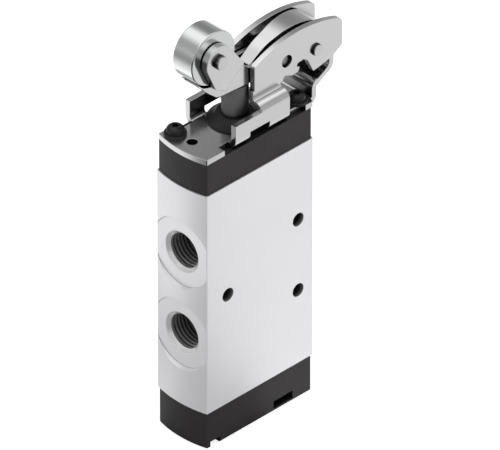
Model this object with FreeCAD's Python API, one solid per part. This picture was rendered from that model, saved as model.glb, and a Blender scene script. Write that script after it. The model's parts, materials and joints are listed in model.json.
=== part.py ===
"""Roller lever air valve: body with ports, spool and seals, bent steel head with lever and roller.

Millimetres. The origin is the centre of the flat bottom face, +Z points up to the lever,
X runs from one narrow port face to the other, and Y is the thickness.
"""
import FreeCAD
import Part
import math
import os

V = FreeCAD.Vector

# Body and covers
body_depth = 43.8            # corner to corner along X
body_thickness = 20.8        # along Y
cover_inset = 0.4            # covers and base plate stand back this far from the body's outline
end_bulge = 1.45             # how far a narrow end bows out past its corners
edge_round = 0.35            # rounding of the long vertical edges
bottom_cover_height = 12.9
body_length = 77.5
top_cover_height = 10.8

# Ports
port_major_radius = 6.58     # G1/4 thread
port_depth = 12.0
port_chamfer = 0.3
port_passage_radius = 4.0
spot_face_radius = 11.5
spot_face_flare = 0.9
spot_face_wall = 0.25         # straight part of its rim, below the flare
port_tip = 1.5                # cone from the thread down to the passage
outlet_offset = 14.4         # two ports on the narrow -X end, above and below the middle
exhaust_offset = 25.2        # outer two of the three ports on the narrow +X end

# Mounting holes through the wide faces
mount_hole_radius = 2.25
mount_pair_x = 15.8
mount_pair_offset = 12.6
mount_single_x = -13.3

# Spool bore and what is stacked in it
bore_radius = 7.0
bore_groove_radius = 8.0
bore_groove_width = 5.0
stack_clearance = 0.05
cage_inner_radius = 5.0
cage_window_radius = 1.6
cage_windows = 6
seal_thickness = 2.4
inner_seal_offset = 7.2
middle_seal_offset = 19.8
outer_seal_offset = 31.0
spool_radius = 4.5
spool_waist_radius = 3.0
spool_edge = 0.3
land_cover = 0.15             # overlap of a land and a seal
spool_lower_reach = 3.8       # past the lowest seal
spool_upper_reach = 1.5       # past the highest seal, on top of the stroke
seal_gap = 0.05              # radial gap between a seal and what slides in it
guide_clearance = 0.05       # radial gap of a sliding guide

# Stroke
stroke = 3.25
stroke_reserve = 0.35

# Plunger
plunger_radius = 4.07
plunger_dome_radius = 12.0
plunger_rim_round = 0.5
plunger_rise = 13.72         # top of the dome above the base plate
plunger_foot_clearance = 0.48    # of the foot in the upper end bush
plunger_foot_round = 0.4
plunger_flange_radius = 6.0
plunger_flange_thickness = 2.0
plunger_flange_round = 0.3
plunger_cavity_radius = 6.6
spool_contact_gap = 0.05
plunger_seal_height = 2.2
plunger_seal_radius = 6.4
roof_below_seal = 1.4

# Spring end
spring_cavity_radius = 6.75
spring_floor = 1.8
spring_seat_radius = 6.0
spring_seat_thickness = 1.8
seat_rim_round = 0.3
seat_boss_height = 1.2
seat_boss_round = 0.4
seat_boss_gap = 0.2           # between the boss and the coil around it
spring_mean_radius = 4.6
spring_wire_radius = 0.5
spring_turns = 4.5
seat_drop = 0.2              # the seat's flange hangs this far under the body

# Cover seals and screws
cover_seal_inner_radius = 7.7
cover_seal_outer_radius = 9.1
cover_seal_height = 1.2
screw_left_x = 18.2
screw_right_x = 19.0
screw_y = 6.4
screw_radius = 1.5
screw_hole_radius = 1.6
screw_bite = 6.2             # thread length in the body
screw_hole_spare = 0.4
screw_tip_round = 0.3
button_head_radius = 2.75
button_flange_radius = 3.45
button_flange_height = 0.9
button_flange_round = 0.2
button_head_height = 3.1
button_head_taper = 0.1
button_crown_round = 1.5
button_socket_radius = 1.15
button_socket_depth = 1.1
cap_head_radius = 2.75
cap_head_height = 3.0
cap_head_round = 0.3
cap_socket_radius = 1.44
cap_socket_depth = 1.5
cap_pocket_radius = 2.95
cap_pocket_depth = 4.2
socket_turn = 12              # degrees that a socket's corners are turned by

# Bottom cover details
cover_slot_start_x = 6.0
cover_slot_width = 8.0
cover_slot_bottom = 0.9
cover_slot_height = 2.7
cover_slot_depth = 2.4
cover_notch_start_x = -20.2
cover_notch_width = 4.0
cover_notch_height = 2.0
cover_notch_depth = 3.4
cover_foot_chamfer = 0.3

# Bracket: one sheet, bent
sheet = 1.8
bend_inner_radius = 0.7
wall_bend_radius = 3.0       # outer faces of the side walls' bends
wall_half_width = 10.4       # outer faces of the side walls
wall_root = 4.0               # how far a wall's section reaches into the plate
cheek_root = 3.0              # how far it reaches up into the cheek
wall_left_x = -10.1
wall_step_x = 0.9
wall_right_x = 12.3
low_wall_top = 6.4           # above the base plate
shelf_top = 8.8              # above the base plate
cheek_half_width = 6.55      # outer faces of the cheeks
cheek_left_x = 1.5
cheek_right_x = 37.7
cheek_arc_radius = 41.9
cheek_arc_x = 20.4
cheek_apex = 24.3            # above the base plate, like all heights of the head
cheek_left_round = 0.9
cheek_right_round = 2.2
rear_wall_x = 25.0
rear_wall_half_width = 8.6
rear_root = 6.0               # how far the rear web reaches into the plate
plate_right_x = 22.6
rear_shelf = 3.8
rear_curve_x = 34.2
rear_curve_round = 3.8
rear_corner_round = 1.9
rear_step = 9.7
strap_tip_x = 3.7
strap_tip_height = 17.8
strap_tip_half_width = 2.1
strap_waist_x = 12.0
strap_waist_half_width = 2.45
strap_root_x = 29.5          # from here on the strap widens into the cheeks
strap_root_half_width = 4.1
strap_foot_height = 15.06    # where its outer face meets the rear web's upright face
collar_hole_radius = 6.3
bend_notch_half_length = 4.0
bend_notch_height = 2.0
left_relief_length = 4.0
right_relief_length = 6.9
left_relief_depth = 2.8
right_relief_depth = 1.5
plate_hole_radius = 1.65
plate_hole_x = -17.6
plate_hole_y = 0.0

# Collar around the plunger
collar_radius = 8.45
collar_rim_height = 0.6
collar_top_radius = 5.4
collar_height = 2.9
collar_spigot_depth = 1.2    # below the base plate
collar_spigot_round = 0.2
collar_rim_round = 0.3
collar_shoulder_spread = 1.2
collar_shoulder_rise = 1.0
collar_shoulder_round = 2.0
collar_top_round = 0.4

# Lever, fork and roller
lever_pivot_x = 14.9
lever_pivot_height = 16.0
lever_side_gap = 0.4
lever_sheet = 1.5
lever_floor_inset = 0.3        # of the floor's edges from the outer faces
lever_end_radius = 3.3
lever_top = 18.9
pivot_pin_radius = 2.05
pivot_pin_recess = 0.9
pivot_pin_round = 0.2
pivot_running_clearance = 0.04
spacer_pin_x = 27.1
spacer_pin_height = 14.4
spacer_pin_radius = 1.9
spacer_pin_proud = 1.0
spacer_pin_round = 0.25
roller_x = -12.8
roller_height = 29.0
roller_radius = 8.85
roller_width = 8.0
roller_edge = 0.35
roller_gap = 0.5             # between the roller's rim and the channel below it
fork_sheet = 2.2
fork_nose_radius = 5.2
fork_left_corner = (-14.3, 19.7)
fork_bottom_corner = (-10.6, 17.75)
fork_right_corner = (-2.5, 23.7)
fork_corner_round = 1.2
fork_heel_round = 0.8
roller_pin_radius = 2.2
roller_pin_proud = 1.5
roller_pin_round = 0.25
roller_running_clearance = 0.04

# Values that follow
body_bottom = bottom_cover_height
body_top = body_bottom + body_length
cover_top = body_top + top_cover_height
plate_top = cover_top + sheet
middle = body_bottom + body_length / 2
half_depth = body_depth / 2
half_thickness = body_thickness / 2
cover_half_depth = half_depth - cover_inset
cover_half_thickness = half_thickness - cover_inset
lever_half_width = cheek_half_width - sheet - lever_side_gap
plunger_top_z = plate_top + plunger_rise
lever_pivot_z = plate_top + lever_pivot_height
spacer_pin_z = plate_top + spacer_pin_height
roller_z = plate_top + roller_height
bend_outer_radius = bend_inner_radius + sheet


def polygon_wire(corners, to_vector):
    """A closed wire through (u, v, radius) corners, each rounded with its own radius."""
    count = len(corners)
    starts, arcs, ends = [], [], []
    for i in range(count):
        before = corners[i - 1]
        here = corners[i]
        after = corners[(i + 1) % count]
        first, arc, last = corner_points(before, here, after)
        starts.append(first)
        arcs.append(arc)
        ends.append(last)
    edges = []
    for i in range(count):
        if arcs[i]:
            first, mid, last = (to_vector(*p) for p in (starts[i], arcs[i], ends[i]))
            edges.append(Part.Arc(first, mid, last).toShape())
        a = to_vector(*ends[i])
        b = to_vector(*starts[(i + 1) % count])
        if a.distanceToPoint(b) > 1e-6:
            edges.append(Part.LineSegment(a, b).toShape())
    return Part.Wire(edges)


def corner_points(before, here, after):
    """Start, middle and end of the arc that rounds a corner, or the corner itself if its radius is 0."""
    u, v = here[0], here[1]
    radius = here[2] if len(here) > 2 else 0
    if radius <= 0:
        return (u, v), None, (u, v)
    back = unit(before[0] - u, before[1] - v)
    ahead = unit(after[0] - u, after[1] - v)
    half = math.acos(max(-1.0, min(1.0, back[0] * ahead[0] + back[1] * ahead[1]))) / 2
    reach = radius / math.tan(half)
    first = (u + back[0] * reach, v + back[1] * reach)
    last = (u + ahead[0] * reach, v + ahead[1] * reach)
    inward = unit(back[0] + ahead[0], back[1] + ahead[1])
    to_centre = radius / math.sin(half)
    mid = (u + inward[0] * (to_centre - radius), v + inward[1] * (to_centre - radius))
    return first, mid, last


def unit(u, v):
    length = math.hypot(u, v)
    return u / length, v / length


def head_prism(corners, y_low, y_high):
    """A prism along Y whose (x, height above the base plate, radius) outline lies in the XZ plane."""
    wire = polygon_wire(corners, lambda u, v: V(u, y_low, plate_top + v))
    return Part.Face(wire).extrude(V(0, y_high - y_low, 0))


def prism_x(corners, x_low, x_high):
    """A prism along X whose (y, z, radius) outline lies in the YZ plane."""
    wire = polygon_wire(corners, lambda u, v: V(x_low, u, v))
    return Part.Face(wire).extrude(V(x_high - x_low, 0, 0))


def prism_z(corners, z_low, z_high):
    """A prism along Z whose (x, y, radius) outline lies in the XY plane."""
    wire = polygon_wire(corners, lambda u, v: V(u, v, z_low))
    return Part.Face(wire).extrude(V(0, 0, z_high - z_low))


def bent_strip(path, thickness):
    """The outline of a bent sheet: path holds (u, v, radius) of one face, the sheet lies on its left."""
    other = []
    for i, corner in enumerate(path):
        u, v = corner[0], corner[1]
        radius = corner[2] if len(corner) > 2 else 0
        ahead = unit(path[i + 1][0] - u, path[i + 1][1] - v) if i + 1 < len(path) else None
        back = unit(u - path[i - 1][0], v - path[i - 1][1]) if i > 0 else None
        d1 = back or ahead
        d2 = ahead or back
        n1 = (-d1[1], d1[0])
        n2 = (-d2[1], d2[0])
        turn = d1[0] * d2[1] - d1[1] * d2[0]
        scale = thickness / (1 + n1[0] * n2[0] + n1[1] * n2[1])
        if radius > 0:
            radius = radius - thickness if turn > 0 else radius + thickness
        other.append((u + (n1[0] + n2[0]) * scale, v + (n1[1] + n2[1]) * scale, radius))
    return list(path) + other[::-1]


def cylinder(radius, start, direction, length):
    return Part.makeCylinder(radius, length, V(*start), V(*direction))


def ring(outer, inner, z_low, z_high):
    """A plain ring around the Z axis."""
    solid = cylinder(outer, (0, 0, z_low), (0, 0, 1), z_high - z_low)
    return solid.cut(cylinder(inner, (0, 0, z_low - 1), (0, 0, 1), z_high - z_low + 2))


def turned(profile, centre=(0, 0)):
    """A solid turned around a vertical axis from (radius, z, corner radius) points."""
    wire = polygon_wire(profile, lambda r, z: V(centre[0] + r, centre[1], z))
    return Part.Face(wire).revolve(V(centre[0], centre[1], 0), V(0, 0, 1), 360)


def mirrored_pair(shape):
    """A shape and its mirror image across the middle plane Y = 0."""
    return shape, shape.mirror(V(0, 0, 0), V(0, 1, 0))


def body_outline(z_low, z_high, x=cover_half_depth, y=cover_half_thickness):
    """The prism of the covers and the base plate: straight wide faces and bowed narrow ends."""
    a, b, c, d = V(-x, -y, z_low), V(x, -y, z_low), V(x, y, z_low), V(-x, y, z_low)
    right = V(x + end_bulge, 0, z_low)
    left = V(-x - end_bulge, 0, z_low)
    edges = [
        Part.LineSegment(a, b).toShape(),
        Part.Arc(b, right, c).toShape(),
        Part.LineSegment(c, d).toShape(),
        Part.Arc(d, left, a).toShape(),
    ]
    solid = Part.Face(Part.Wire(edges)).extrude(V(0, 0, z_high - z_low))
    corners = [e for e in solid.Edges if is_vertical(e)]
    return solid.makeFillet(edge_round, corners)


def is_vertical(edge):
    a = edge.Vertexes[0].Point
    b = edge.Vertexes[-1].Point
    return abs(a.z - b.z) > 0.5 and math.hypot(a.x - b.x, a.y - b.y) < 1e-4


def screw_places():
    """The two diagonal corners that the cover screws go through."""
    return [(-screw_left_x, screw_y), (screw_right_x, -screw_y)]


def port_cut(side, z):
    """Spot face, threaded bore and inner passage of one port; side is -1 or +1 along X."""
    face = side * half_depth
    inward = (-side, 0, 0)
    bore = cylinder(port_major_radius, (face, 0, z), inward, port_depth)
    mouth_direction = V(*inward)
    mouth = Part.makeCone(port_major_radius + port_chamfer, port_major_radius, port_chamfer,
                          V(face, 0, z), mouth_direction)
    tip = Part.makeCone(port_major_radius, port_passage_radius, port_tip,
                        V(face - side * port_depth, 0, z), mouth_direction)
    passage = cylinder(port_passage_radius, (face, 0, z), inward, half_depth)
    rise = end_bulge + 0.6
    profile = [(0, 0), (spot_face_radius, 0), (spot_face_radius, spot_face_wall),
               (spot_face_radius + spot_face_flare, rise), (0, rise)]
    wire = polygon_wire(profile, lambda r, h: V(face + side * h, r, z))
    spot = Part.Face(wire).revolve(V(face, 0, z), V(1, 0, 0), 360)
    return [bore, mouth, tip, passage, spot]


def make_valve_body():
    solid = body_outline(body_bottom, body_top, half_depth, half_thickness)
    cuts = [cylinder(bore_radius, (0, 0, body_bottom - 1), (0, 0, 1), body_length + 2)]
    ports = [(-1, middle - outlet_offset), (-1, middle + outlet_offset)]
    ports += [(1, middle + offset) for offset in (-exhaust_offset, 0, exhaust_offset)]
    for side, z in ports:
        cuts += port_cut(side, z)
        low = z - bore_groove_width / 2
        cuts.append(cylinder(bore_groove_radius, (0, 0, low), (0, 0, 1), bore_groove_width))
    holes = [(mount_pair_x, middle - mount_pair_offset), (mount_pair_x, middle + mount_pair_offset)]
    holes.append((mount_single_x, middle))
    for x, z in holes:
        start = (x, -half_thickness - 1, z)
        cuts.append(cylinder(mount_hole_radius, start, (0, 1, 0), body_thickness + 2))
    depth = screw_bite + screw_hole_spare
    for x, y in screw_places():
        cuts.append(cylinder(screw_radius, (x, y, body_top - depth), (0, 0, 1), depth))
        cuts.append(cylinder(screw_radius, (x, y, body_bottom), (0, 0, 1), depth))
    for cut in cuts:
        solid = solid.cut(cut)
    return solid


def seal_heights():
    offsets = (-outer_seal_offset, -middle_seal_offset, -inner_seal_offset)
    return [middle + o for o in offsets] + [middle - o for o in offsets[::-1]]


def make_spool_seals():
    outer = bore_radius - stack_clearance
    inner = spool_radius + seal_gap
    half = seal_thickness / 2
    return [ring(outer, inner, z - half, z + half) for z in seal_heights()]


def make_seal_cages():
    """Windowed rings that keep the seals apart and let air through at each port."""
    heights = seal_heights()
    cages = []
    for below, above in zip(heights, heights[1:]):
        low = below + seal_thickness / 2
        high = above - seal_thickness / 2
        cage = ring(bore_radius - stack_clearance, cage_inner_radius, low, high)
        window_z = port_near((below + above) / 2)
        for i in range(cage_windows):
            angle = math.radians(360 * (i + 0.5) / cage_windows)
            direction = (math.cos(angle), math.sin(angle), 0)
            cage = cage.cut(cylinder(cage_window_radius, (0, 0, window_z), direction, bore_radius + 1))
        cages.append(cage)
    return cages


def port_near(z):
    """The height of the port that opens into the bore nearest to z."""
    heights = [middle + o for o in (-exhaust_offset, -outlet_offset, 0, outlet_offset, exhaust_offset)]
    return min(heights, key=lambda height: abs(height - z))


def make_end_bushes():
    """Bushes that close the seal stack and guide the ends of the spool."""
    outer = bore_radius - stack_clearance
    inner = spool_radius + guide_clearance
    reach = outer_seal_offset + seal_thickness / 2
    lower = ring(outer, inner, body_bottom, middle - reach)
    upper = ring(outer, inner, middle + reach, body_top)
    return [lower, upper]


def spool_span():
    """Bottom and top of the spool at rest."""
    seal_half = seal_thickness / 2
    reach = outer_seal_offset + seal_half
    return middle - reach - spool_lower_reach, middle + reach + stroke + spool_upper_reach


def make_spool():
    """A turned rod whose lands open and close the seals between the ports."""
    bottom, top = spool_span()
    half = seal_thickness / 2
    cover = land_cover
    lands = [
        (bottom, middle - outer_seal_offset + half + stroke + cover),
        (middle - middle_seal_offset - half - cover, middle - middle_seal_offset + half + cover),
        (middle - inner_seal_offset + half + cover, middle - inner_seal_offset + half + stroke + cover),
        (middle + inner_seal_offset - half - cover, middle + inner_seal_offset + half + cover),
        (middle + middle_seal_offset + half + cover, middle + middle_seal_offset + half + stroke + cover),
        (middle + outer_seal_offset - half - cover, top),
    ]
    profile = [(0, bottom)]
    edge = spool_edge
    for low, high in lands:
        profile += [(spool_radius - edge, low), (spool_radius, low + edge)]
        profile += [(spool_radius, high - edge), (spool_radius - edge, high)]
        if high < top:
            profile.append((spool_waist_radius, high))
            following = [l for l, h in lands if l > high][0]
            profile.append((spool_waist_radius, following))
    profile.append((0, top))
    return turned(profile)


def make_spring_seat():
    """A cup that sits against the lower end of the spool and centres the spring."""
    spool_bottom = spool_span()[0]
    flange_top = body_bottom - seat_drop
    flange_bottom = flange_top - spring_seat_thickness
    stem = spool_radius - guide_clearance
    boss = spring_mean_radius - spring_wire_radius - seat_boss_gap
    boss_bottom = flange_bottom - seat_boss_height
    profile = [(0, boss_bottom), (boss, boss_bottom, seat_boss_round), (boss, flange_bottom),
               (spring_seat_radius, flange_bottom, seat_rim_round),
               (spring_seat_radius, flange_top, seat_rim_round),
               (stem, flange_top), (stem, spool_bottom), (0, spool_bottom)]
    return turned(profile)


def make_return_spring():
    """A round-wire coil between the cover's floor and the spring seat."""
    low = spring_floor
    high = body_bottom - seat_drop - spring_seat_thickness
    rise = high - low - 2 * spring_wire_radius
    pitch = rise / spring_turns
    helix = Part.makeLongHelix(pitch, rise, spring_mean_radius)
    helix.translate(V(0, 0, low + spring_wire_radius))
    start = helix.Vertexes[0].Point
    circle = Part.makeCircle(spring_wire_radius, start, V(0, spring_mean_radius, pitch / (2 * math.pi)))
    return Part.Wire(helix).makePipeShell([Part.Wire(circle)], True, True)


def cover_seal_groove(z_low, z_high):
    return ring(cover_seal_outer_radius, cover_seal_inner_radius, z_low, z_high)


def make_bottom_cover():
    solid = body_outline(0, body_bottom)
    solid = solid.makeChamfer(cover_foot_chamfer, [e for e in solid.Edges if lies_at(e, 0)])
    cuts = [cylinder(spring_cavity_radius, (0, 0, spring_floor), (0, 0, 1), body_bottom)]
    cuts.append(cover_seal_groove(body_bottom - cover_seal_height, body_bottom))
    for x, y in screw_places():
        cuts.append(cylinder(screw_hole_radius, (x, y, -1), (0, 0, 1), body_bottom + 2))
        cuts.append(cylinder(cap_pocket_radius, (x, y, -1), (0, 0, 1), cap_pocket_depth + 1))
    face = -cover_half_thickness
    cuts.append(box(cover_slot_start_x, cover_slot_start_x + cover_slot_width, face - 1,
                    face + cover_slot_depth, cover_slot_bottom, cover_slot_bottom + cover_slot_height))
    cuts.append(box(cover_notch_start_x, cover_notch_start_x + cover_notch_width, face - 1,
                    face + cover_notch_depth, -1, cover_notch_height))
    for cut in cuts:
        solid = solid.cut(cut)
    return solid


def box(x_low, x_high, y_low, y_high, z_low, z_high):
    return Part.makeBox(x_high - x_low, y_high - y_low, z_high - z_low, V(x_low, y_low, z_low))


def lies_at(edge, z):
    return all(abs(v.Point.z - z) < 1e-4 for v in edge.Vertexes) and abs(edge.CenterOfMass.z - z) < 1e-4


def flange_top_z():
    """Top of the plunger's flange, just under the top cover's inner shoulder."""
    return body_top + stroke + stroke_reserve + plunger_flange_thickness


def make_top_cover():
    solid = body_outline(body_top, cover_top)
    shoulder = flange_top_z() + spool_contact_gap
    cuts = [cylinder(plunger_cavity_radius, (0, 0, body_top - 1), (0, 0, 1), shoulder - body_top + 1)]
    cuts.append(cylinder(plunger_radius + guide_clearance, (0, 0, body_top), (0, 0, 1), top_cover_height + 1))
    seal_bottom = shoulder + roof_below_seal
    cuts.append(cylinder(plunger_seal_radius, (0, 0, seal_bottom), (0, 0, 1), cover_top - seal_bottom + 1))
    cuts.append(cover_seal_groove(body_top, body_top + cover_seal_height))
    for x, y in screw_places():
        cuts.append(cylinder(screw_hole_radius, (x, y, body_top - 1), (0, 0, 1), top_cover_height + 2))
    for cut in cuts:
        solid = solid.cut(cut)
    return solid


def make_plunger():
    """A push rod with a retaining flange and a domed top that the lever bears on."""
    flange_top = flange_top_z()
    flange_bottom = flange_top - plunger_flange_thickness
    foot = spool_span()[1] + spool_contact_gap
    foot_radius = spool_radius + guide_clearance - plunger_foot_clearance
    profile = [(0, foot), (foot_radius, foot, plunger_foot_round), (foot_radius, flange_bottom),
               (plunger_flange_radius, flange_bottom, plunger_flange_round),
               (plunger_flange_radius, flange_top, plunger_flange_round),
               (plunger_radius, flange_top), (plunger_radius, plunger_top_z), (0, plunger_top_z)]
    rod = turned(profile)
    centre = V(0, 0, plunger_top_z - plunger_dome_radius)
    dome = Part.makeSphere(plunger_dome_radius, centre)
    low = cylinder(plunger_flange_radius + 1, (0, 0, foot), (0, 0, 1), flange_top + 1 - foot)
    rod = rod.common(dome.fuse(low))
    rim = [e for e in circles(rod, plunger_radius) if e.CenterOfMass.z > flange_top + 1]
    return rod.makeFillet(plunger_rim_round, rim)


def circles(solid, radius):
    """The full circular edges of a solid that have this radius."""
    around = 2 * math.pi * radius
    return [e for e in solid.Edges if e.isClosed() and abs(e.Length - around) < 0.01]


def make_plunger_seal():
    """A ring in the roof of the top cover, under the collar's spigot."""
    bottom = flange_top_z() + spool_contact_gap + roof_below_seal
    inner = plunger_radius + seal_gap
    return ring(plunger_seal_radius, inner, bottom, bottom + plunger_seal_height)


def make_plunger_collar():
    """A domed collar on the base plate, with a spigot down to the plunger seal."""
    inner = plunger_radius + guide_clearance
    spigot = collar_hole_radius - stack_clearance
    bottom = cover_top - collar_spigot_depth
    rim = plate_top + collar_rim_height
    top = plate_top + collar_height
    shoulder = (collar_top_radius + collar_shoulder_spread, rim + collar_shoulder_rise, collar_shoulder_round)
    profile = [(inner, bottom), (spigot, bottom, collar_spigot_round), (spigot, plate_top),
               (collar_radius, plate_top), (collar_radius, rim, collar_rim_round), shoulder,
               (collar_top_radius, top, collar_top_round), (inner, top)]
    return turned(profile)


def wall_section(outer, height):
    """Section of a plain side wall: (y, z) of the outer face from the plate up to a free top."""
    return [(outer - wall_root, cover_top), (outer, cover_top, wall_bend_radius), (outer, plate_top + height)]


def joggled_section():
    """Section of the tall wall: up from the plate, in along the shelf and up again as the cheek."""
    shelf = plate_top + shelf_top
    return [(wall_half_width - wall_root, cover_top), (wall_half_width, cover_top, wall_bend_radius),
            (wall_half_width, shelf, wall_bend_radius), (cheek_half_width, shelf, bend_inner_radius),
            (cheek_half_width, shelf + cheek_root)]


def cheek_prism():
    """One cheek of the bracket, arched on top and cut away below around the lever."""
    bottom = shelf_top + 0.8
    corners = [
        (cheek_left_x, bottom), (13.0, bottom, 0.6), (14.0, 11.3, 0.8), (17.2, 9.9, 1.2),
        (19.6, 10.2, 0.6), (20.2, 11.6), (19.0, 12.2), (19.2, 13.2, 0.4), (21.9, 13.5, 0.8),
        (23.4, 12.4, 0.5), (25.8, 7.4, 0.5), (28.4, 7.8), (rear_curve_x - 1.9, 8.6),
        (rear_curve_x, rear_step - 0.4), (cheek_right_x, rear_step + 1.5, 1.0),
        (cheek_right_x, cheek_apex + 1), (cheek_left_x, cheek_apex + 1),
    ]
    plate = head_prism(corners, -cheek_half_width, -cheek_half_width + sheet)
    arch_start = (cheek_arc_x, -cheek_half_width - 1, plate_top + cheek_apex - cheek_arc_radius)
    plate = plate.common(cylinder(cheek_arc_radius, arch_start, (0, 1, 0), sheet + 2))
    plate = plate.makeFillet(cheek_left_round, [top_corner_at(plate, cheek_left_x)])
    return plate.makeFillet(cheek_right_round, [top_corner_at(plate, cheek_right_x)])


def top_corner_at(solid, x):
    """The highest straight edge along Y at this X."""
    edges = [e for e in solid.Edges if is_cross_edge(e) and abs(e.CenterOfMass.x - x) < 1e-3]
    return max(edges, key=lambda e: e.CenterOfMass.z)


def is_cross_edge(edge):
    """True for a straight edge that runs along Y."""
    a = edge.Vertexes[0].Point
    b = edge.Vertexes[-1].Point
    return abs(a.y - b.y) > 0.5 and math.hypot(a.x - b.x, a.z - b.z) < 1e-4


def make_bracket():
    base = body_outline(cover_top, plate_top)
    base = base.common(box(-half_depth - 5, rear_wall_x - rear_root, -20, 20, 0, 200))
    for side in (-1, 1):
        y_low, y_high = sorted((side * (wall_half_width - wall_bend_radius), side * (half_thickness + 1)))
        base = base.cut(box(wall_left_x, wall_right_x, y_low, y_high, cover_top, plate_top))
    parts = []
    low = bent_strip(wall_section(wall_half_width, low_wall_top), sheet)
    parts += mirrored_pair(prism_x(low, wall_left_x, wall_step_x))
    tall = bent_strip(joggled_section(), sheet)
    parts += mirrored_pair(prism_x(tall, wall_step_x, wall_right_x))
    parts += mirrored_pair(cheek_prism())
    parts.append(rear_web())
    parts.append(strap())
    solid = base.multiFuse(parts)
    cuts = [cylinder(collar_hole_radius, (0, 0, 0), (0, 0, 1), 200).common(
        box(-20, 20, -20, 20, cover_top - 1, plate_top + 1))]
    for side in (-1, 1):
        y_low, y_high = sorted((side * (wall_half_width - wall_bend_radius), side * 12))
        cuts.append(box(-bend_notch_half_length, bend_notch_half_length, y_low, y_high,
                        cover_top - 1, plate_top + bend_notch_height))
        y_low, y_high = sorted((side * (cover_half_thickness - left_relief_depth), side * 12))
        cuts.append(box(wall_left_x - left_relief_length, wall_left_x, y_low, y_high,
                        cover_top - 1, plate_top + 1))
        y_low, y_high = sorted((side * (cover_half_thickness - right_relief_depth), side * 12))
        cuts.append(box(wall_right_x, wall_right_x + right_relief_length, y_low, y_high,
                        cover_top - 1, plate_top + 1))
    for x, y in screw_places():
        cuts.append(cylinder(screw_hole_radius, (x, y, cover_top - 1), (0, 0, 1), sheet + 2))
    hole_start = (plate_hole_x, plate_hole_y, cover_top - 1)
    cuts.append(cylinder(plate_hole_radius, hole_start, (0, 0, 1), sheet + 2))
    for x, z, radius in ((lever_pivot_x, lever_pivot_z, pivot_pin_radius),
                         (spacer_pin_x, spacer_pin_z, spacer_pin_radius)):
        cuts.append(cylinder(radius, (x, -cheek_half_width - 1, z), (0, 1, 0), 2 * cheek_half_width + 2))
    for cut in cuts:
        solid = solid.cut(cut)
    return solid.removeSplitter()


def rear_web():
    """The sheet that leaves the plate's far end, steps outward and closes the head behind the cheeks."""
    path = [(rear_wall_x - rear_root, -sheet), (rear_wall_x, -sheet, bend_outer_radius),
            (rear_wall_x, rear_shelf, bend_inner_radius), (rear_curve_x, rear_shelf, rear_curve_round),
            (rear_curve_x, rear_step, 1.0), (cheek_right_x, rear_step + 1.9, rear_corner_round),
            (cheek_right_x, strap_foot_height - 1)]
    strip = head_prism(bent_strip(path, sheet), -cover_half_thickness, cover_half_thickness)
    wide, narrow = cover_half_thickness, cheek_half_width
    half = [(rear_wall_x - rear_root - 1, wide), (plate_right_x - 0.4, wide, 0.5),
            (plate_right_x, wide - 1.0, 0.3),
            (plate_right_x, rear_wall_half_width, 0.4), (rear_wall_x + 0.6, rear_wall_half_width, 2),
            (rear_curve_x - 3, narrow, 3), (cheek_right_x + 1, narrow)]
    return strip.common(prism_z(both_sides(half), 0, 200))


def strap():
    """The arched strap between the cheeks, from the rear web forward to the stop above the lever."""
    path = [(cheek_right_x, rear_step + 3.1), (cheek_right_x, strap_foot_height, rear_corner_round),
            (28.8, 23.24, 12.0), (19.9, 25.0, 20.0), (9.5, 21.65, 15.0), (strap_tip_x, strap_tip_height)]
    rooted = cheek_half_width - sheet / 2
    outline = head_prism(bent_strip(path, sheet), -rooted, rooted)
    half = [(cheek_right_x + 1, rooted), (strap_root_x + 3, rooted),
            (strap_root_x, strap_root_half_width, 1.5),
            (strap_waist_x, strap_waist_half_width, 20.0), (strap_tip_x - 1, strap_tip_half_width)]
    return outline.common(prism_z(both_sides(half), plate_top, plate_top + cheek_apex + 1))


def both_sides(half):
    """A closed plan from the corners on its +Y side."""
    return half + [(corner[0], -corner[1]) + corner[2:] for corner in half[::-1]]


def make_bracket_screws():
    """Flanged button-head screws through plate and top cover into the body."""
    screws = []
    for x, y in screw_places():
        seat = plate_top
        profile = [(0, body_top - screw_bite), (screw_radius, body_top - screw_bite, screw_tip_round),
                   (screw_radius, seat),
                   (button_flange_radius, seat),
                   (button_flange_radius, seat + button_flange_height, button_flange_round),
                   (button_head_radius, seat + button_flange_height),
                   (button_head_radius - button_head_taper, seat + button_head_height, button_crown_round),
                   (0, seat + button_head_height)]
        screw = turned(profile, (x, y))
        screws.append(screw.cut(hex_socket(x, y, seat + button_head_height, button_socket_radius,
                                           -button_socket_depth)))
    return screws


def hex_socket(x, y, z, radius, depth):
    corners = []
    for i in range(6):
        angle = math.radians(60 * i + socket_turn)
        corners.append((x + radius * math.cos(angle), y + radius * math.sin(angle)))
    return prism_z(corners, min(z, z + depth), max(z, z + depth))


def make_bottom_cover_screws():
    """Socket cap screws that hold the bottom cover from below."""
    screws = []
    for x, y in screw_places():
        seat = cap_pocket_depth
        low = seat - cap_head_height
        tip = body_bottom + screw_bite
        profile = [(0, low), (cap_head_radius, low, cap_head_round), (cap_head_radius, seat),
                   (screw_radius, seat),
                   (screw_radius, tip, screw_tip_round), (0, tip)]
        screw = turned(profile, (x, y))
        screws.append(screw.cut(hex_socket(x, y, low, cap_socket_radius, cap_socket_depth)))
    return screws


def lever_lower_edge():
    """The lower face of the lever's channel, from the lip under the roller to the pivot end."""
    return [(-17.7, 20.5), (-15.7, 18.3, 3.0), (-11.6, 14.75, 3.0), (-9.2, 14.45), (5.5, 13.42)]


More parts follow.
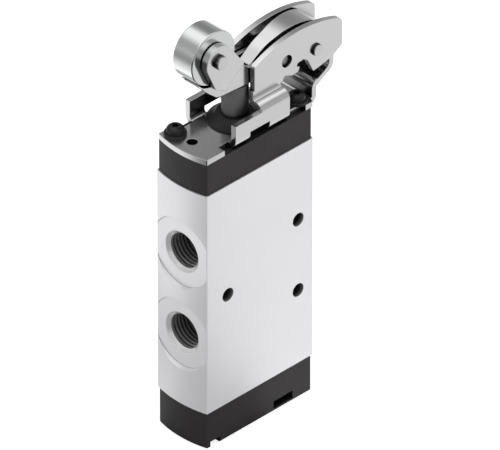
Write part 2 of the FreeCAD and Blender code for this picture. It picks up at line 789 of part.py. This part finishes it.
def make_lever():
    """A channel: two side plates joined by a floor that the plunger pushes against."""
    end = lever_end_radius
    pivot = (lever_pivot_x, lever_pivot_height)
    side = lever_lower_edge() + [
        (pivot[0] - 1.5, pivot[1] - end), (pivot[0] + end, pivot[1] - end, end - 0.05),
        (pivot[0] + end, pivot[1] + end, end - 0.05), (pivot[0] - 1.5, pivot[1] + end),
        (10.6, lever_top, 1.5), (1.6, lever_top, 1.5), (-2.0, 22.4, 1.0), (-5.2, 24.5),
        (-18.5, 24.5),
    ]
    plate = head_prism(side, -lever_half_width, -lever_half_width + lever_sheet)
    reach = lever_half_width - lever_floor_inset
    floor = head_prism(bent_strip(lever_lower_edge(), lever_sheet), -reach, reach)
    solid = floor.multiFuse(list(mirrored_pair(plate)))
    reach = roller_radius + roller_gap
    start = (roller_x, -lever_half_width - 1, roller_z)
    solid = solid.cut(cylinder(reach, start, (0, 1, 0), 2 * lever_half_width + 2))
    hole = pivot_pin_radius + pivot_running_clearance
    start = (lever_pivot_x, -lever_half_width - 1, lever_pivot_z)
    solid = solid.cut(cylinder(hole, start, (0, 1, 0), 2 * lever_half_width + 2))
    return solid.removeSplitter()


def make_roller_fork():
    """Two teardrop plates outside the lever's channel that carry the roller pin."""
    inner = lever_half_width
    left = tangent_point(fork_left_corner, -1)
    right = tangent_point(fork_right_corner, 1)
    corners = [right, left, fork_left_corner + (fork_corner_round,),
               fork_bottom_corner + (fork_corner_round,), fork_right_corner + (fork_heel_round,)]
    plate = head_prism(corners, -inner - fork_sheet, -inner)
    nose = cylinder(fork_nose_radius, (roller_x, -inner - fork_sheet, roller_z), (0, 1, 0), fork_sheet)
    plate = plate.fuse(nose).removeSplitter()
    hole = cylinder(roller_pin_radius, (roller_x, -20, roller_z), (0, 1, 0), 40)
    return [shape.cut(hole) for shape in mirrored_pair(plate)]


def tangent_point(corner, side):
    """Where the line from a corner touches the fork's round nose, on its right (1) or left (-1)."""
    u, v = corner[0] - roller_x, corner[1] - roller_height
    distance = math.hypot(u, v)
    angle = math.atan2(v, u) + side * math.acos(fork_nose_radius / distance)
    return roller_x + fork_nose_radius * math.cos(angle), roller_height + fork_nose_radius * math.sin(angle)


def pin_along_y(x, z, radius, half_length, edge):
    pin = cylinder(radius, (x, -half_length, z), (0, 1, 0), 2 * half_length)
    return pin.makeFillet(edge, circles(pin, radius))


def make_roller_pin():
    half_length = lever_half_width + fork_sheet + roller_pin_proud
    return pin_along_y(roller_x, roller_z, roller_pin_radius, half_length, roller_pin_round)


def make_roller():
    half = roller_width / 2
    wheel = cylinder(roller_radius, (roller_x, -half, roller_z), (0, 1, 0), roller_width)
    wheel = wheel.makeFillet(roller_edge, circles(wheel, roller_radius))
    hole = roller_pin_radius + roller_running_clearance
    return wheel.cut(cylinder(hole, (roller_x, -20, roller_z), (0, 1, 0), 40))


def make_lever_pivot_pin():
    half_length = cheek_half_width - pivot_pin_recess
    return pin_along_y(lever_pivot_x, lever_pivot_z, pivot_pin_radius, half_length, pivot_pin_round)


def make_spacer_pin():
    half_length = cheek_half_width + spacer_pin_proud
    return pin_along_y(spacer_pin_x, spacer_pin_z, spacer_pin_radius, half_length, spacer_pin_round)


def make_top_cover_seal():
    return cover_seal_groove(body_top, body_top + cover_seal_height)


def make_bottom_cover_seal():
    return cover_seal_groove(body_bottom - cover_seal_height, body_bottom)


NODES = {
    "valve_body": make_valve_body,
    "top_cover": make_top_cover,
    "bottom_cover": make_bottom_cover,
    "top_cover_seal": make_top_cover_seal,
    "bottom_cover_seal": make_bottom_cover_seal,
    "bottom_cover_screws": make_bottom_cover_screws,
    "end_bushes": make_end_bushes,
    "spool_seals": make_spool_seals,
    "seal_cages": make_seal_cages,
    "spool": make_spool,
    "spring_seat": make_spring_seat,
    "return_spring": make_return_spring,
    "plunger": make_plunger,
    "plunger_seal": make_plunger_seal,
    "plunger_collar": make_plunger_collar,
    "bracket": make_bracket,
    "bracket_screws": make_bracket_screws,
    "lever": make_lever,
    "lever_pivot_pin": make_lever_pivot_pin,
    "spacer_pin": make_spacer_pin,
    "roller_fork": make_roller_fork,
    "roller_pin": make_roller_pin,
    "roller": make_roller,
}


def main():
    os.makedirs("parts", exist_ok=True)
    for name, make in NODES.items():
        shape = make()
        if isinstance(shape, list):
            shape = Part.makeCompound(shape)
        shape.exportStep("parts/" + name + ".step")
        print(name, len(shape.Solids), shape.isValid(), round(shape.Volume, 2))


main()
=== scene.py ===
"""Roller lever air valve: finishes, port threads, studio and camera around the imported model."""
import json
import math

import bpy
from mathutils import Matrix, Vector


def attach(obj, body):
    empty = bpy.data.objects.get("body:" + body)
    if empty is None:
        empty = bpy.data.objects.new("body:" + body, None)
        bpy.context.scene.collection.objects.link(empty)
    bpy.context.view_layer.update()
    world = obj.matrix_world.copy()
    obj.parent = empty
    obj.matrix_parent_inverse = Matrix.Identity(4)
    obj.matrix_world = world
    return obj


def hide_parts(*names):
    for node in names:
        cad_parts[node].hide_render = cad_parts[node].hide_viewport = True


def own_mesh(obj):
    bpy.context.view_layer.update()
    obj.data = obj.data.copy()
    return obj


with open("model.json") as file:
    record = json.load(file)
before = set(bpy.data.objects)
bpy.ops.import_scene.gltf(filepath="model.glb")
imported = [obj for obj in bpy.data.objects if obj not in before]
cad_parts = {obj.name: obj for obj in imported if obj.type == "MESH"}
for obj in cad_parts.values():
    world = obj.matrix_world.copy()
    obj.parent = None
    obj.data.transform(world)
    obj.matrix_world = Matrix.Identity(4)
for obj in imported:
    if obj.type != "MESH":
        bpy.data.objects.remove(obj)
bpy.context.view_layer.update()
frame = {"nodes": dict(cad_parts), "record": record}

MM = 0.001
SLANT = math.sqrt(0.5)

# Camera: a long lens in the photograph's direction, aimed at the point in the picture's centre
VIEW_AZIMUTH = math.radians(45.17)
VIEW_ELEVATION = math.radians(-34.65)
VIEW_DIRECTION = Vector((math.cos(VIEW_ELEVATION) * math.cos(VIEW_AZIMUTH),
                         math.cos(VIEW_ELEVATION) * math.sin(VIEW_AZIMUTH), math.sin(VIEW_ELEVATION)))
AIM = Vector((0.0, -6.21, 67.98)) * MM
CAMERA_DISTANCE = 5.2
PIXELS_PER_MM = 3.41
SENSOR_WIDTH = 36.0
PICTURE_WIDTH = 500
CLIP_START = 0.1
CLIP_END = 20.0

# Threaded linings of the ports, in millimetres
THREAD_PITCH = 1.337
THREAD_ROOT = 6.5
THREAD_CREST = 5.75
THREAD_LENGTH = 10.0
THREAD_STEPS = 72
LINING_WALL = 0.05
COUNTERSINK_RADIUS = 6.56
COUNTERSINK_MOUTH = 0.3
COUNTERSINK_DEPTH = 1.1
THREAD_RIDGE = [(0.14, THREAD_CREST), (0.44, THREAD_ROOT), (0.6, THREAD_ROOT), (0.9, THREAD_CREST)]
FACE_X = 21.9
MIDDLE_Z = 51.65
OUTLET_OFFSET = 14.4
EXHAUST_OFFSET = 25.2

# Return spring, in millimetres
SPRING_FLOOR = 1.8
SPRING_TOP = 10.9
SPRING_RADIUS = 4.6
SPRING_WIRE = 0.49
SPRING_TURNS = 4.5
SPRING_STEPS = 180
WIRE_STEPS = 12

# Studio, in metres and watts; each light is (place, size, power)
FLOOR_RADIUS = 1.6
FLOOR_DROP = 0.0001
FLOOR_GREY = 0.8
FLOOR_GLOW = 0.72
ROOM_LIGHT = 0.62
# Painted shade: the grey that finish colours are multiplied by where crevices are deepest.
PAINTED_SHADE_GREY = 0.04
ALUMINIUM_TINT = (0, -0.004, 0.012)
KEY_LIGHT = ((0.4, -1.6, 0.2), 1.2, 21.5)
FILL_LIGHT = ((-1.45, 0.4, 0.15), 0.8, 10.0)

# What polished metal mirrors, as (place on a ramp, grey)
SWEEP_RANGE = (-0.4, 0.6)
FLOOR_SWEEP = [(0.0, 0.77), (0.25, 0.78), (0.3, 0.84), (0.38, 0.98), (0.42, 1.0), (0.46, 0.45), (0.48, 0.5),
               (0.505, 1.25), (0.52, 1.2), (0.59, 0.88), (0.76, 0.49), (1.0, 0.36)]
FLOOR_FRONT = [(0.12, 1.0), (0.3, 0.72), (0.45, 0.34), (0.7, 0.08)]
ROOM_HEIGHTS = [(0.46, 0.36), (0.52, 0.4), (0.6, 0.54), (0.72, 0.43), (0.82, 0.43), (0.865, 0.75),
                (0.9, 1.15), (1.0, 1.2)]
FAR_WALL = [(0.85, 1.0), (0.97, 0.62), (1.0, 0.6)]
FAR_WALL_DIRECTION = (0.617, 0.596, 0.514)

nodes = frame["nodes"]


class Shader:
    """A small helper that builds one node tree."""

    def __init__(self, tree):
        self.tree = tree
        self.tree.nodes.clear()

    def add(self, kind, **values):
        node = self.tree.nodes.new(kind)
        for name, value in values.items():
            setattr(node, name, value)
        return node

    def link(self, source, target):
        self.tree.links.new(source, target)

    def noise(self, scale, detail=3.0, roughness=0.5, stretch=None):
        """Noise in object space, optionally stretched along an axis."""
        coords = self.add("ShaderNodeTexCoord")
        source = coords.outputs["Object"]
        if stretch:
            mapping = self.add("ShaderNodeMapping")
            mapping.inputs["Scale"].default_value = stretch
            self.link(source, mapping.inputs["Vector"])
            source = mapping.outputs["Vector"]
        node = self.add("ShaderNodeTexNoise")
        node.inputs["Scale"].default_value = scale
        node.inputs["Detail"].default_value = detail
        node.inputs["Roughness"].default_value = roughness
        self.link(source, node.inputs["Vector"])
        return node.outputs["Fac"]

    def ramp(self, source, stops):
        node = self.add("ShaderNodeValToRGB")
        elements = node.color_ramp.elements
        while len(elements) < len(stops):
            elements.new(0.5)
        for element, (place, colour) in zip(elements, stops):
            element.position = place
            element.color = (*colour, 1.0) if len(colour) == 3 else colour
        self.link(source, node.inputs["Fac"])
        return node.outputs["Color"]

    def spread(self, source, low, high, start=0.0, end=1.0):
        """Maps start..end to low..high."""
        node = self.add("ShaderNodeMapRange")
        node.inputs["From Min"].default_value = start
        node.inputs["From Max"].default_value = end
        node.inputs["To Min"].default_value = low
        node.inputs["To Max"].default_value = high
        self.link(source, node.inputs["Value"])
        return node.outputs["Result"]

    def along(self, source, direction, unit=False):
        """How far a vector points along a direction; with unit set, its own length doesn't count."""
        if unit:
            whole = self.add("ShaderNodeVectorMath", operation="NORMALIZE")
            self.link(source, whole.inputs[0])
            source = whole.outputs["Vector"]
        node = self.add("ShaderNodeVectorMath", operation="DOT_PRODUCT")
        node.inputs[1].default_value = direction
        self.link(source, node.inputs[0])
        return node.outputs["Value"]

    def multiply(self, first, second):
        product = self.add("ShaderNodeMixRGB", blend_type="MULTIPLY")
        product.inputs["Fac"].default_value = 1.0
        self.link(first, product.inputs["Color1"])
        self.link(second, product.inputs["Color2"])
        return product.outputs["Color"]

    def paint_shade(self, colour, distance, shade):
        """Paints shade into a colour: multiplies it by how open its surroundings are within a distance."""
        openness = self.add("ShaderNodeAmbientOcclusion", samples=8)
        openness.inputs["Distance"].default_value = distance
        depth = self.ramp(openness.outputs["AO"], [(shade[0], grey(PAINTED_SHADE_GREY)), (shade[1], grey(1.0))])
        return self.multiply(colour, depth)

    def bump(self, source, strength, distance, before=None):
        node = self.add("ShaderNodeBump")
        node.inputs["Strength"].default_value = strength
        node.inputs["Distance"].default_value = distance
        self.link(source, node.inputs["Height"])
        if before:
            self.link(before, node.inputs["Normal"])
        return node.outputs["Normal"]


def grey(value, tint=(0.0, 0.0, 0.0)):
    return tuple(value + t for t in tint)


def greys(stops):
    return [(place, grey(value)) for place, value in stops]


def finish_material(name, colours, metallic, roughness, scale, bump=(0.1, 0.00002, 900.0), stretch=None,
                    specular=0.5, round_edges=0.0, painted_shade_distance=0.0, shade=(0.25, 0.62)):
    """A surface whose colour and roughness drift a little, with a fine grain in its normal.

    A distance given here paints shade into the colour of what lies deep between close walls.
    """
    material = bpy.data.materials.new(name)
    material.use_nodes = True
    shader = Shader(material.node_tree)
    output = shader.add("ShaderNodeOutputMaterial")
    surface = shader.add("ShaderNodeBsdfPrincipled")
    surface.inputs["Metallic"].default_value = metallic
    surface.inputs["Specular IOR Level"].default_value = specular
    drift = shader.noise(scale, 4.0, 0.55, stretch)
    colour = shader.ramp(drift, [(0.3, colours[0]), (0.7, colours[1])])
    # Painted shade: the colour is darkened where other surfaces close in.
    if painted_shade_distance:
        colour = shader.paint_shade(colour, painted_shade_distance, shade)
    shader.link(colour, surface.inputs["Base Color"])
    fine = shader.noise(bump[2], 5.0, 0.6, stretch)
    shader.link(shader.spread(fine, roughness[0], roughness[1]), surface.inputs["Roughness"])
    normal = None
    if round_edges:
        edge = shader.add("ShaderNodeBevel", samples=6)
        edge.inputs["Radius"].default_value = round_edges
        normal = edge.outputs["Normal"]
    shader.link(shader.bump(fine, bump[0], bump[1], normal), surface.inputs["Normal"])
    shader.link(surface.outputs["BSDF"], output.inputs["Surface"])
    return material


def make_materials():
    """One finish for each material slot of the record."""
    # Where a finish has a crevice distance, its colour is darkened as painted shade: in port bores and mount
    # holes, on pin sides, on the plunger by its collar and in the gaps of the bracket and covers.
    return {
        "body_aluminium": finish_material(
            "body_aluminium", (grey(0.77, ALUMINIUM_TINT), grey(0.79, ALUMINIUM_TINT)), 0.4, (0.3, 0.38),
            60.0, (0.25, 0.00002, 4000.0), round_edges=0.0002, painted_shade_distance=0.02),
        "cover_plastic": finish_material(
            "cover_plastic", ((0.0265, 0.024, 0.0257), (0.0308, 0.0282, 0.03)), 0.0, (0.42, 0.55), 120.0,
            (0.35, 0.00003, 5000.0), specular=0.2, round_edges=0.0002, painted_shade_distance=0.006),
        "seal_rubber": finish_material(
            "seal_rubber", (grey(0.012), grey(0.02)), 0.0, (0.5, 0.65), 200.0, (0.2, 0.00003, 3000.0)),
        "black_screw": finish_material(
            "black_screw", (grey(0.018), grey(0.03)), 0.5, (0.28, 0.4), 500.0, (0.2, 0.00001, 6000.0),
            round_edges=0.00012),
        "bush_plastic": finish_material(
            "bush_plastic", ((0.62, 0.61, 0.56), (0.68, 0.67, 0.62)), 0.0, (0.4, 0.5), 150.0,
            (0.15, 0.00002, 3000.0)),
        "turned_metal": finish_material(
            "turned_metal", (grey(0.66), grey(0.72)), 1.0, (0.22, 0.3), 80.0, (0.15, 0.00001, 2500.0),
            stretch=(1, 1, 12)),
        "spring_steel": finish_material(
            "spring_steel", (grey(0.5), grey(0.6)), 1.0, (0.25, 0.35), 300.0, (0.15, 0.00001, 4000.0)),
        "plunger_steel": finish_material(
            "plunger_steel", (grey(0.14), grey(0.16)), 0.4, (0.42, 0.5), 150.0, (0.15, 0.00001, 5000.0),
            round_edges=0.0002, painted_shade_distance=0.006, shade=(0.4, 0.9)),
        "collar_rubber": finish_material(
            "collar_rubber", (grey(0.012), grey(0.017)), 0.0, (0.4, 0.5), 200.0, (0.3, 0.00003, 4000.0),
            specular=0.35, round_edges=0.0002, painted_shade_distance=0.008),
        "bright_steel": finish_material(
            "bright_steel", (grey(0.74), grey(0.78)), 1.0, (0.17, 0.23), 40.0, (0.03, 0.000004, 1500.0),
            round_edges=0.00025, painted_shade_distance=0.008),
        "pin_steel": finish_material(
            "pin_steel", (grey(0.70), grey(0.74)), 1.0, (0.15, 0.2), 100.0, (0.03, 0.000004, 3000.0),
            round_edges=0.00015, painted_shade_distance=0.004, shade=(0.62, 0.9)),
        # Painted shade: a darker copy of pin steel for the lever's pivot pin, whose end sits recessed in its
        # hole.
        "pin_steel_painted_shade": finish_material(
            "pin_steel_painted_shade", (grey(0.38), grey(0.42)), 1.0, (0.18, 0.26), 100.0, (0.05, 0.000006, 3000.0),
            round_edges=0.00015, painted_shade_distance=0.004, shade=(0.62, 0.9)),
        "roller_steel": finish_material(
            "roller_steel", ((0.76, 0.775, 0.775), (0.79, 0.805, 0.805)), 1.0, (0.12, 0.17), 60.0,
            (0.03, 0.000004, 2500.0), round_edges=0.0002, painted_shade_distance=0.003),
        "thread_aluminium": finish_material(
            "thread_aluminium", (grey(0.62), grey(0.7)), 0.7, (0.3, 0.4), 150.0, (0.15, 0.00001, 4000.0),
            painted_shade_distance=0.012, shade=(0.2, 0.55)),
        # A glossier finish for the countersunk mouths of the ports, with a colour lighter than the body that
        # paints their highlight.
        "countersink_aluminium": finish_material(
            "countersink_aluminium", (grey(0.84), grey(0.88)), 0.5, (0.22, 0.3), 150.0,
            (0.1, 0.00001, 4000.0)),
    }


def dress_nodes(materials):
    """Gives every carried-over node the finish of its slot, apart from the pivot pin, which gets a darker
    copy of pin steel that paints the shade in its recess.
    """
    for part in frame["record"]["subparts"]:
        node = nodes[part["node"]]
        finish = "pin_steel_painted_shade" if part["node"] == "lever_pivot_pin" else part["material_slot"]
        node.data.materials.clear()
        node.data.materials.append(materials[finish])


def thread_rows():
    """(depth in millimetres, radius, share of a turn that the row follows) of the lining's rings."""
    rows = [(COUNTERSINK_MOUTH, COUNTERSINK_RADIUS, 0.0), (COUNTERSINK_DEPTH, THREAD_CREST, 0.0)]
    turns = int((THREAD_LENGTH - COUNTERSINK_DEPTH) / THREAD_PITCH) - 1
    for turn in range(turns):
        for share, radius in THREAD_RIDGE:
            rows.append((COUNTERSINK_DEPTH + (turn + share) * THREAD_PITCH, radius, 1.0))
    rows.append((COUNTERSINK_DEPTH + (turns + 1) * THREAD_PITCH, THREAD_CREST, 0.0))
    return rows


def thread_mesh(name):
    """A threaded lining around the X axis, with its countersunk mouth near x = 0 and running to -x."""
    around = THREAD_STEPS
    points, faces = [], []
    for depth, radius, follow in thread_rows():
        for i in range(around + 1):
            angle = 2 * math.pi * i / around
            along = depth + follow * THREAD_PITCH * i / around
            points.append(Vector((-along, radius * math.cos(angle), radius * math.sin(angle))) * MM)
    width = around + 1
    for row in range(len(points) // width - 1):
        for i in range(around):
            a = row * width + i
            faces.append((a, a + 1, a + width + 1, a + width))
    mesh = bpy.data.meshes.new(name)
    mesh.from_pydata(points, [], faces)
    mesh.polygons.foreach_set("use_smooth", [False] * len(mesh.polygons))
    for face in mesh.polygons[:around]:
        face.material_index = 1
    return mesh


def add_threads(lining, mouth):
    places = [("outlet_lower", -1, -OUTLET_OFFSET), ("outlet_upper", -1, OUTLET_OFFSET),
              ("exhaust_lower", 1, -EXHAUST_OFFSET), ("supply", 1, 0.0), ("exhaust_upper", 1, EXHAUST_OFFSET)]
    for label, side, offset in places:
        mesh = thread_mesh("thread_" + label)
        mesh.materials.append(lining)
        mesh.materials.append(mouth)
        piece = bpy.data.objects.new("thread_" + label, mesh)
        bpy.context.scene.collection.objects.link(piece)
        shift = Vector((side * FACE_X, 0, MIDDLE_Z + offset)) * MM
        for vertex in mesh.vertices:
            vertex.co = Vector((vertex.co.x * side, vertex.co.y * side, vertex.co.z)) + shift
        mesh.flip_normals()
        solid = piece.modifiers.new("wall", "SOLIDIFY")
        solid.thickness = LINING_WALL * MM
        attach(piece, "housing")


def spring_mesh():
    """A coil of round wire around the Z axis, closed at both ends."""
    steps, around = SPRING_STEPS, WIRE_STEPS
    rise = SPRING_TOP - SPRING_FLOOR - 2 * SPRING_WIRE
    points = []
    for i in range(steps + 1):
        turn = 2 * math.pi * SPRING_TURNS * i / steps
        outward = Vector((math.cos(turn), math.sin(turn), 0))
        centre = SPRING_RADIUS * outward + Vector((0, 0, SPRING_FLOOR + SPRING_WIRE + rise * i / steps))
        run = Vector((-outward.y, outward.x, rise / (2 * math.pi * SPRING_TURNS * SPRING_RADIUS)))
        upward = outward.cross(run.normalized())
        for j in range(around):
            angle = 2 * math.pi * j / around
            spoke = math.cos(angle) * outward + math.sin(angle) * upward
            points.append((centre + SPRING_WIRE * spoke) * MM)
    faces = [tuple(range(around))[::-1], tuple(range(steps * around, (steps + 1) * around))]
    for i in range(steps):
        for j in range(around):
            a, b = i * around + j, i * around + (j + 1) % around
            faces.append((a, b, b + around, a + around))
    mesh = bpy.data.meshes.new("return_coil")
    mesh.from_pydata(points, [], faces)
    mesh.polygons.foreach_set("use_smooth", [True] * len(mesh.polygons))
    return mesh


def add_spring(material):
    """Draws the return spring as a fixed coil between the cover's floor and the seat, carried with the spool
    set.
    """
    mesh = spring_mesh()
    mesh.materials.append(material)
    coil = bpy.data.objects.new("return_coil", mesh)
    bpy.context.scene.collection.objects.link(coil)
    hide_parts("return_spring")
    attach(coil, "spool_set")
    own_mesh(coil)


def floor_material():
    """Pale floor: white to the camera with a soft shadow, bright to what mirrors it."""
    material = bpy.data.materials.new("studio_floor")
    material.use_nodes = True
    shader = Shader(material.node_tree)
    output = shader.add("ShaderNodeOutputMaterial")
    path = shader.add("ShaderNodeLightPath")
    diffuse = shader.add("ShaderNodeBsdfDiffuse")
    diffuse.inputs["Color"].default_value = (*grey(FLOOR_GREY), 1)
    glow = shader.add("ShaderNodeEmission")
    glow.inputs["Strength"].default_value = FLOOR_GLOW
    seen = shader.add("ShaderNodeAddShader")
    shader.link(diffuse.outputs["BSDF"], seen.inputs[0])
    shader.link(glow.outputs["Emission"], seen.inputs[1])
    mirror = shader.add("ShaderNodeEmission")
    coords = shader.add("ShaderNodeTexCoord")
    place = coords.outputs["Object"]
    left_back = shader.spread(shader.along(place, (-SLANT, SLANT, 0)), 0.0, 1.0, *SWEEP_RANGE)
    sweep = shader.ramp(left_back, greys(FLOOR_SWEEP))
    front = shader.ramp(shader.along(place, (-SLANT, -SLANT, 0), True), greys(FLOOR_FRONT))
    shader.link(shader.multiply(sweep, front), mirror.inputs["Color"])
    pick_camera = shader.add("ShaderNodeMixShader")
    shader.link(path.outputs["Is Camera Ray"], pick_camera.inputs["Fac"])
    shader.link(diffuse.outputs["BSDF"], pick_camera.inputs[1])
    shader.link(seen.outputs["Shader"], pick_camera.inputs[2])
    pick_glossy = shader.add("ShaderNodeMixShader")
    shader.link(path.outputs["Is Glossy Ray"], pick_glossy.inputs["Fac"])
    shader.link(pick_camera.outputs["Shader"], pick_glossy.inputs[1])
    shader.link(mirror.outputs["Emission"], pick_glossy.inputs[2])
    shader.link(pick_glossy.outputs["Shader"], output.inputs["Surface"])
    return material


def add_floor():
    bpy.ops.mesh.primitive_circle_add(vertices=96, radius=FLOOR_RADIUS, fill_type="NGON",
                                      location=(0, 0, -FLOOR_DROP))
    floor = bpy.context.object
    floor.name = "studio_floor"
    floor.data.materials.append(floor_material())


def set_world():
    """White to the camera; what mirrors the room sees a dark horizon, grey walls and a bright top."""
    world = bpy.data.worlds.new("studio")
    bpy.context.scene.world = world
    world.use_nodes = True
    shader = Shader(world.node_tree)
    output = shader.add("ShaderNodeOutputWorld")
    path = shader.add("ShaderNodeLightPath")
    coords = shader.add("ShaderNodeTexCoord")
    direction = coords.outputs["Generated"]
    height = shader.spread(shader.along(direction, (0, 0, 1)), 0.0, 1.0, -1.0, 1.0)
    room = shader.ramp(height, greys(ROOM_HEIGHTS))
    far_wall = shader.ramp(shader.along(direction, FAR_WALL_DIRECTION), greys(FAR_WALL))
    mirrored = shader.add("ShaderNodeBackground")
    shader.link(shader.multiply(room, far_wall), mirrored.inputs["Color"])
    soft = shader.add("ShaderNodeBackground")
    soft.inputs["Color"].default_value = (1, 1, 1, 1)
    soft.inputs["Strength"].default_value = ROOM_LIGHT
    white = shader.add("ShaderNodeBackground")
    white.inputs["Color"].default_value = (1, 1, 1, 1)
    pick_glossy = shader.add("ShaderNodeMixShader")
    shader.link(path.outputs["Is Glossy Ray"], pick_glossy.inputs["Fac"])
    shader.link(soft.outputs["Background"], pick_glossy.inputs[1])
    shader.link(mirrored.outputs["Background"], pick_glossy.inputs[2])
    pick_camera = shader.add("ShaderNodeMixShader")
    shader.link(path.outputs["Is Camera Ray"], pick_camera.inputs["Fac"])
    shader.link(pick_glossy.outputs["Shader"], pick_camera.inputs[1])
    shader.link(white.outputs["Background"], pick_camera.inputs[2])
    shader.link(pick_camera.outputs["Shader"], output.inputs["Surface"])


def add_light(name, place, size, power):
    data = bpy.data.lights.new(name, "AREA")
    data.shape = "DISK"
    data.size = size
    data.energy = power
    lamp = bpy.data.objects.new(name, data)
    bpy.context.scene.collection.objects.link(lamp)
    lamp.location = place
    lamp.rotation_euler = (AIM - Vector(place)).to_track_quat("-Z", "Y").to_euler()
    lamp.visible_glossy = False


def add_camera():
    data = bpy.data.cameras.new("camera")
    data.sensor_width = SENSOR_WIDTH
    data.lens = PIXELS_PER_MM / MM * CAMERA_DISTANCE / PICTURE_WIDTH * SENSOR_WIDTH
    data.clip_start = CLIP_START
    data.clip_end = CLIP_END
    camera = bpy.data.objects.new("camera", data)
    bpy.context.scene.collection.objects.link(camera)
    camera.location = AIM - VIEW_DIRECTION * CAMERA_DISTANCE
    camera.rotation_euler = VIEW_DIRECTION.to_track_quat("-Z", "Y").to_euler()
    bpy.context.scene.camera = camera


def main():
    materials = make_materials()
    dress_nodes(materials)
    add_threads(materials["thread_aluminium"], materials["countersink_aluminium"])
    add_spring(materials["spring_steel"])
    add_floor()
    set_world()
    add_light("key", *KEY_LIGHT)
    add_light("fill", *FILL_LIGHT)
    add_camera()
    bpy.context.scene.view_settings.view_transform = "Standard"


main()
